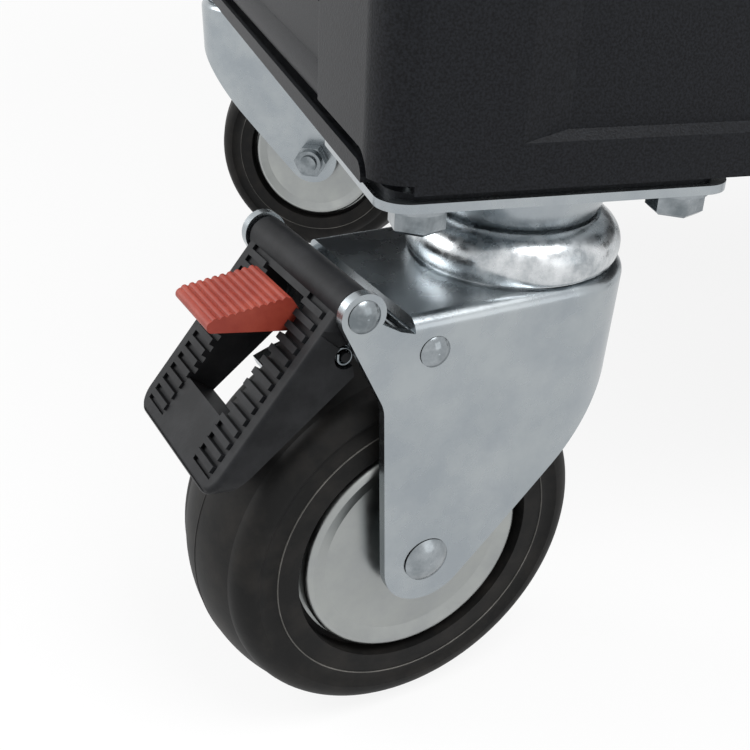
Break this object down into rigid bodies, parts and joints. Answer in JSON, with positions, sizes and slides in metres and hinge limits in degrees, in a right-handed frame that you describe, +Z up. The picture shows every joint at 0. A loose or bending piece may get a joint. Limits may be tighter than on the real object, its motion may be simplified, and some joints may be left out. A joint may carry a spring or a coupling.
{
  "type": "rolling tool chest",
  "caption": "Upright steel tool chest with sliding drawers, a rimmed top tray and a push handle, on rigid casters and pedal-braked swivel casters.",
  "frame": {"origin": "on the floor under the middle of the cabinet", "axes": "+X to the handle end, +Y to the back, +Z up"},
  "size_m": [0.7698, 0.492, 0.961],
  "materials": {
    "black_powder_coat": "fine textured powder coat",
    "zinc_sheet": "zinc plated",
    "black_moulding": "satin moulding",
    "black_rubber_mat": "ribbed mat",
    "black_tube_paint": "satin paint",
    "zinc_fasteners": "zinc plated",
    "lock_metal": "nickel plated",
    "zinc_plate": "zinc plated pressing",
    "bright_zinc": "bright zinc",
    "pull_aluminium": "satin anodised",
    "tyre_rubber": "matte rubber",
    "zinc_hub": "zinc plated disc",
    "pedal_plastic": "textured moulding",
    "red_plastic": "satin moulding"
  },
  "bodies": {
    "cabinet": {"back_shell": "black_powder_coat", "front_post_right": "black_powder_coat", "front_post_left": "black_powder_coat", "side_panel_right": "black_powder_coat", "side_panel_left": "black_powder_coat", "side_rails": "black_powder_coat", "front_rails": "black_powder_coat", "bottom_pan": "black_powder_coat", "slide_uprights": "zinc_sheet", "slide_channels": "zinc_sheet", "top_tray": "black_moulding", "top_mat": "black_rubber_mat", "push_handle": "black_tube_paint", "handle_brackets": "black_moulding", "handle_bolts": "zinc_fasteners", "lock_barrel": "lock_metal", "swivel_plates": "zinc_plate", "kingpins": "zinc_fasteners", "plate_washers": "zinc_fasteners", "plate_bolts": "zinc_fasteners", "rigid_forks": "zinc_plate", "rigid_axles": "zinc_fasteners"},
    "drawer_body_1": {"drawer_1": "black_powder_coat", "drawer_1_pull": "pull_aluminium"},
    "drawer_body_2": {"drawer_2": "black_powder_coat", "drawer_2_pull": "pull_aluminium"},
    "drawer_body_3": {"drawer_3": "black_powder_coat", "drawer_3_pull": "pull_aluminium"},
    "drawer_body_4": {"drawer_4": "black_powder_coat", "drawer_4_pull": "pull_aluminium"},
    "drawer_body_5": {"drawer_5": "black_powder_coat", "drawer_5_pull": "pull_aluminium"},
    "drawer_body_6": {"drawer_6": "black_powder_coat", "drawer_6_pull": "pull_aluminium"},
    "lock_cylinder": {"lock_core": "lock_metal"},
    "lock_lift_bar": {"lock_bar": "lock_metal"},
    "rear_swivel": {"rear_caster_fork": "zinc_plate", "rear_caster_ring": "bright_zinc", "rear_caster_axle": "zinc_fasteners", "rear_caster_rivets": "zinc_fasteners"},
    "rear_swivel_wheel": {"rear_caster_tyre": "tyre_rubber", "rear_caster_hub": "zinc_hub"},
    "rear_pedal": {"rear_brake_pedal": "pedal_plastic", "rear_brake_lever": "zinc_plate", "rear_brake_spring": "zinc_fasteners"},
    "rear_tab": {"rear_release_tab": "red_plastic"},
    "rear_rigid_wheel": {"rear_rigid_tyre": "tyre_rubber", "rear_rigid_hub": "zinc_hub"},
    "front_swivel": {"front_caster_fork": "zinc_plate", "front_caster_ring": "bright_zinc", "front_caster_axle": "zinc_fasteners", "front_caster_rivets": "zinc_fasteners"},
    "front_swivel_wheel": {"front_caster_tyre": "tyre_rubber", "front_caster_hub": "zinc_hub"},
    "front_pedal": {"front_brake_pedal": "pedal_plastic", "front_brake_lever": "zinc_plate", "front_brake_spring": "zinc_fasteners"},
    "front_tab": {"front_release_tab": "red_plastic"},
    "front_rigid_wheel": {"front_rigid_tyre": "tyre_rubber", "front_rigid_hub": "zinc_hub"}
  },
  "joints": [
    {"name": "drawer_1_slide", "type": "slide", "parent": "cabinet", "child": "drawer_body_1", "axis": [0, -1, 0], "range_m": [0, 0.33]},
    {"name": "drawer_2_slide", "type": "slide", "parent": "cabinet", "child": "drawer_body_2", "axis": [0, -1, 0], "range_m": [0, 0.33]},
    {"name": "drawer_3_slide", "type": "slide", "parent": "cabinet", "child": "drawer_body_3", "axis": [0, -1, 0], "range_m": [0, 0.33]},
    {"name": "drawer_4_slide", "type": "slide", "parent": "cabinet", "child": "drawer_body_4", "axis": [0, -1, 0], "range_m": [0, 0.33]},
    {"name": "drawer_5_slide", "type": "slide", "parent": "cabinet", "child": "drawer_body_5", "axis": [0, -1, 0], "range_m": [0, 0.33]},
    {"name": "drawer_6_slide", "type": "slide", "parent": "cabinet", "child": "drawer_body_6", "axis": [0, -1, 0], "range_m": [0, 0.33]},
    {"name": "lock_turn", "type": "hinge", "parent": "cabinet", "child": "lock_cylinder", "pos_m": [0.326, -0.222, 0.856], "axis": [0, 1, 0], "range_deg": [0, 90]},
    {"name": "lock_bar_lift", "type": "slide", "parent": "cabinet", "child": "lock_lift_bar", "axis": [0, 0, 1], "range_m": [0, 0.008]},
    {"name": "rear_swivel_turn", "type": "hinge", "parent": "cabinet", "child": "rear_swivel", "pos_m": [0.2858, 0.1957, 0.15], "axis": [0, 0, 1], "continuous": true},
    {"name": "rear_wheel_roll", "type": "hinge", "parent": "rear_swivel", "child": "rear_swivel_wheel", "pos_m": [0.32605, 0.20448, 0.0635], "axis": [-0.213, 0.977, 0], "continuous": true},
    {"name": "rear_pedal_press", "type": "hinge", "parent": "rear_swivel", "child": "rear_pedal", "pos_m": [0.35204, 0.21014, 0.1522], "axis": [-0.213, 0.977, 0], "range_deg": [0, 8]},
    {"name": "rear_tab_press", "type": "hinge", "parent": "rear_pedal", "child": "rear_tab", "pos_m": [0.36094, 0.21208, 0.1432], "axis": [-0.213, 0.977, 0], "range_deg": [0, 10], "stiffness_Nm_per_rad": 0.3},
    {"name": "rear_rigid_roll", "type": "hinge", "parent": "cabinet", "child": "rear_rigid_wheel", "pos_m": [-0.2858, 0.1957, 0.0635], "axis": [0, 1, 0], "continuous": true},
    {"name": "front_swivel_turn", "type": "hinge", "parent": "cabinet", "child": "front_swivel", "pos_m": [0.2858, -0.1957, 0.15], "axis": [0, 0, 1], "continuous": true},
    {"name": "front_wheel_roll", "type": "hinge", "parent": "front_swivel", "child": "front_swivel_wheel", "pos_m": [0.24942, -0.17636, 0.0635], "axis": [-0.4695, -0.8829, 0], "continuous": true},
    {"name": "front_pedal_press", "type": "hinge", "parent": "front_swivel", "child": "front_pedal", "pos_m": [0.22594, -0.16387, 0.1522], "axis": [-0.4695, -0.8829, 0], "range_deg": [0, 8]},
    {"name": "front_tab_press", "type": "hinge", "parent": "front_pedal", "child": "front_tab", "pos_m": [0.2179, -0.1596, 0.1432], "axis": [-0.4695, -0.8829, 0], "range_deg": [0, 10], "stiffness_Nm_per_rad": 0.3},
    {"name": "front_rigid_roll", "type": "hinge", "parent": "cabinet", "child": "front_rigid_wheel", "pos_m": [-0.2858, -0.1957, 0.0635], "axis": [0, 1, 0], "continuous": true}
  ],
  "couplings": [
    {"joint": "lock_turn", "follows": "lock_bar_lift", "rad_per_m": 196.3}
  ]
}
